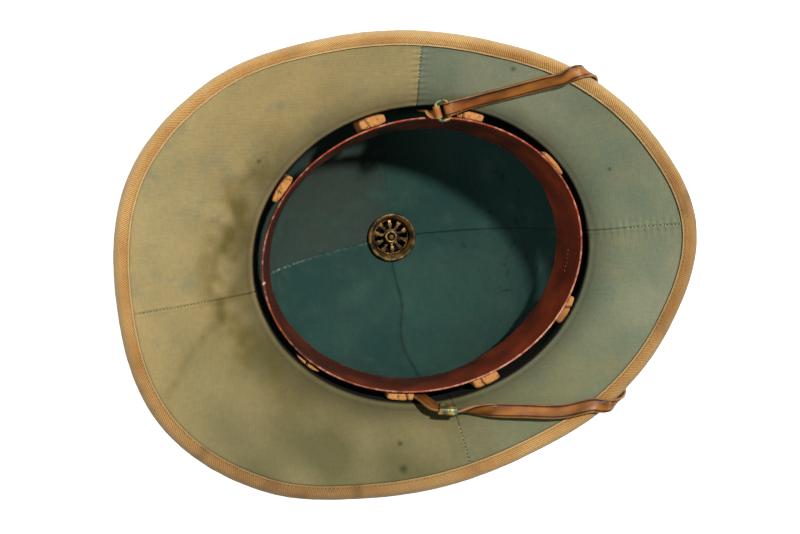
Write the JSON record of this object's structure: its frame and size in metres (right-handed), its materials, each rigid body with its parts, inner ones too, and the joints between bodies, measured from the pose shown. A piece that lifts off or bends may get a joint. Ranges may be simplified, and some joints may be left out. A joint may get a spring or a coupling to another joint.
{
  "type": "pith helmet",
  "caption": "Cloth-covered cork sun helmet with a wide oval brim, green lining, leather sweatband on cork spacers, brass vent and leather chin strap.",
  "frame": {"origin": "centre of the ventilator cap's flat top, which the upturned helmet stands on", "axes": "+X to the front peak, +Y to the wearer's right, +Z from the crown's top up to the head opening"},
  "size_m": [0.3525, 0.2776, 0.1527],
  "materials": {
    "khaki_drill": "matte cotton drill over a cork shell",
    "green_cotton": "matte plain weave, dark teal",
    "faded_green_cotton": "matte plain weave, faded and stained",
    "khaki_tape": "matte ribbed tape",
    "brown_leather": "satin, worn pale at its edges",
    "tan_leather": "satin, creased",
    "raw_cork": "matte, bare cut cork",
    "brass": "aged, with green tarnish in its corners"
  },
  "bodies": {
    "root": {"pith_crown": "khaki_drill", "pith_brim": "khaki_drill", "crown_lining": "green_cotton", "brim_underlay": "faded_green_cotton", "brim_binding": "khaki_tape", "hat_band": "khaki_drill", "sweatband": "brown_leather", "vent_collar": "brass", "vent_cap": "khaki_drill", "chin_strap": "tan_leather", "strap_tab": "tan_leather", "strap_ring": "brass", "strap_slide": "brass", "cork_spacer_1": "raw_cork", "cork_spacer_2": "raw_cork", "cork_spacer_3": "raw_cork", "cork_spacer_4": "raw_cork", "cork_spacer_5": "raw_cork", "cork_spacer_6": "raw_cork", "cork_spacer_7": "raw_cork", "cork_spacer_8": "raw_cork"}
  },
  "joints": []
}
